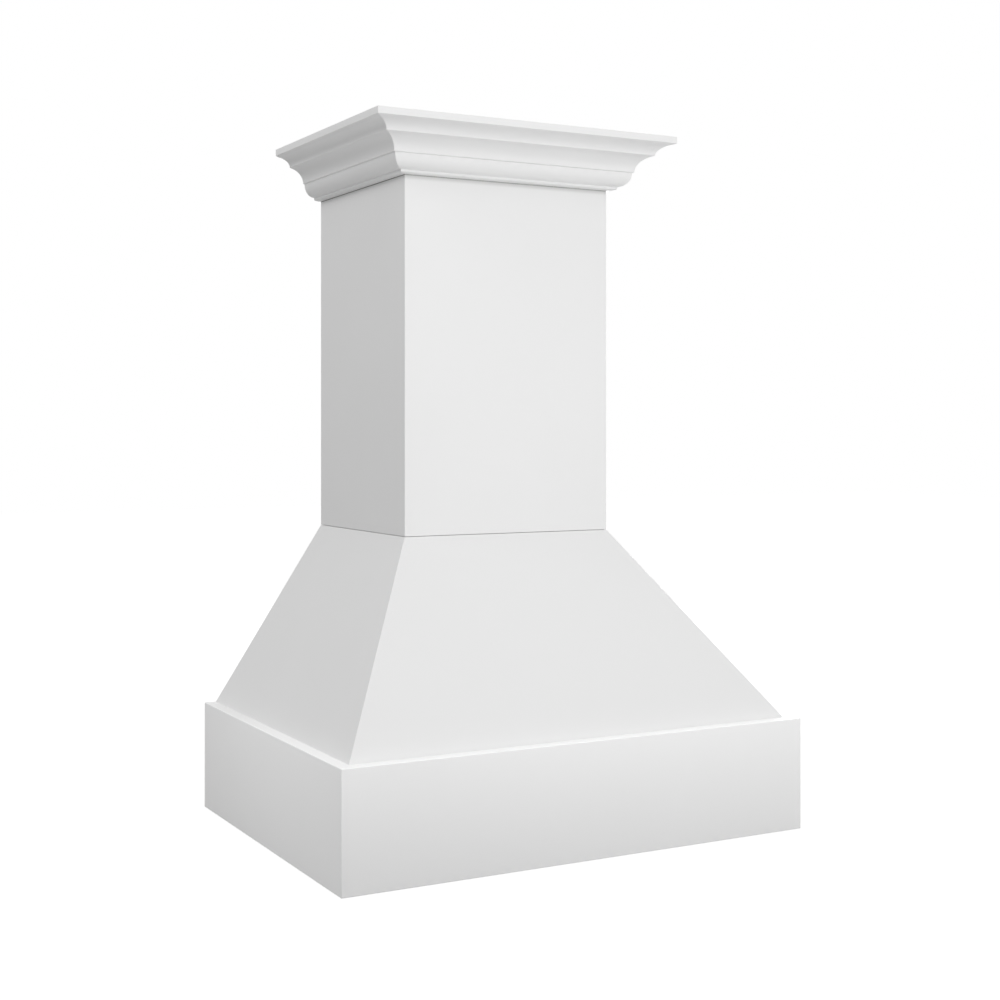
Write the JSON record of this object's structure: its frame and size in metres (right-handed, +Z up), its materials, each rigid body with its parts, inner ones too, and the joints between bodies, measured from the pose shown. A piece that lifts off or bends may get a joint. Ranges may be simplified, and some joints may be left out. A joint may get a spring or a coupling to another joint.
{
  "type": "wooden range hood cover",
  "caption": "Painted wooden range hood cover for a wall: mitred apron with a ledge, tapered skirt, straight chimney and sprung crown moulding, open behind and below.",
  "frame": {"origin": "centre of the cover's bounding box on its lower side: on the plane of symmetry, half way between the apron's front and the wall, level with the apron's lower edge", "axes": "+Z up, -Y out of the front into the room, +Y into the wall, +X to the right seen from the front"},
  "size_m": [0.762, 0.559, 1.072],
  "materials": {
    "white_paint": "satin white paint over boards and panels, filled mitres",
    "plywood": "raw birch plywood",
    "pine": "raw planed pine",
    "steel": "zinc plated"
  },
  "bodies": {
    "root": {"apron_back_rail": "plywood", "apron_corner_block_left": "pine", "apron_corner_block_right": "pine", "apron_front": "white_paint", "apron_left": "white_paint", "apron_rear_block_left": "pine", "apron_rear_block_right": "pine", "apron_right": "white_paint", "chimney_base_back": "plywood", "chimney_base_front": "plywood", "chimney_base_left": "plywood", "chimney_base_right": "plywood", "chimney_corner_batten_left": "pine", "chimney_corner_batten_right": "pine", "chimney_front": "white_paint", "chimney_left": "white_paint", "chimney_rear_stile_left": "pine", "chimney_rear_stile_right": "pine", "chimney_right": "white_paint", "chimney_top_back": "plywood", "chimney_top_front": "plywood", "chimney_top_left": "plywood", "chimney_top_right": "plywood", "collar_back": "plywood", "collar_front": "plywood", "collar_left": "plywood", "collar_right": "plywood", "crown_front": "white_paint", "crown_left": "white_paint", "crown_nailer_front": "pine", "crown_nailer_left": "pine", "crown_nailer_right": "pine", "crown_right": "white_paint", "hanging_rail_low": "plywood", "hanging_rail_top": "plywood", "hip_batten_left": "pine", "hip_batten_right": "pine", "joining_screw_left_back": "steel", "joining_screw_left_front": "steel", "joining_screw_right_back": "steel", "joining_screw_right_front": "steel", "liner_ledger_back": "pine", "liner_ledger_front": "pine", "liner_ledger_left": "pine", "liner_ledger_right": "pine", "skirt_front": "white_paint", "skirt_left": "white_paint", "skirt_rear_stile_left": "pine", "skirt_rear_stile_right": "pine", "skirt_right": "white_paint", "skirt_sill_front": "pine", "skirt_sill_left": "pine", "skirt_sill_right": "pine"}
  },
  "joints": []
}
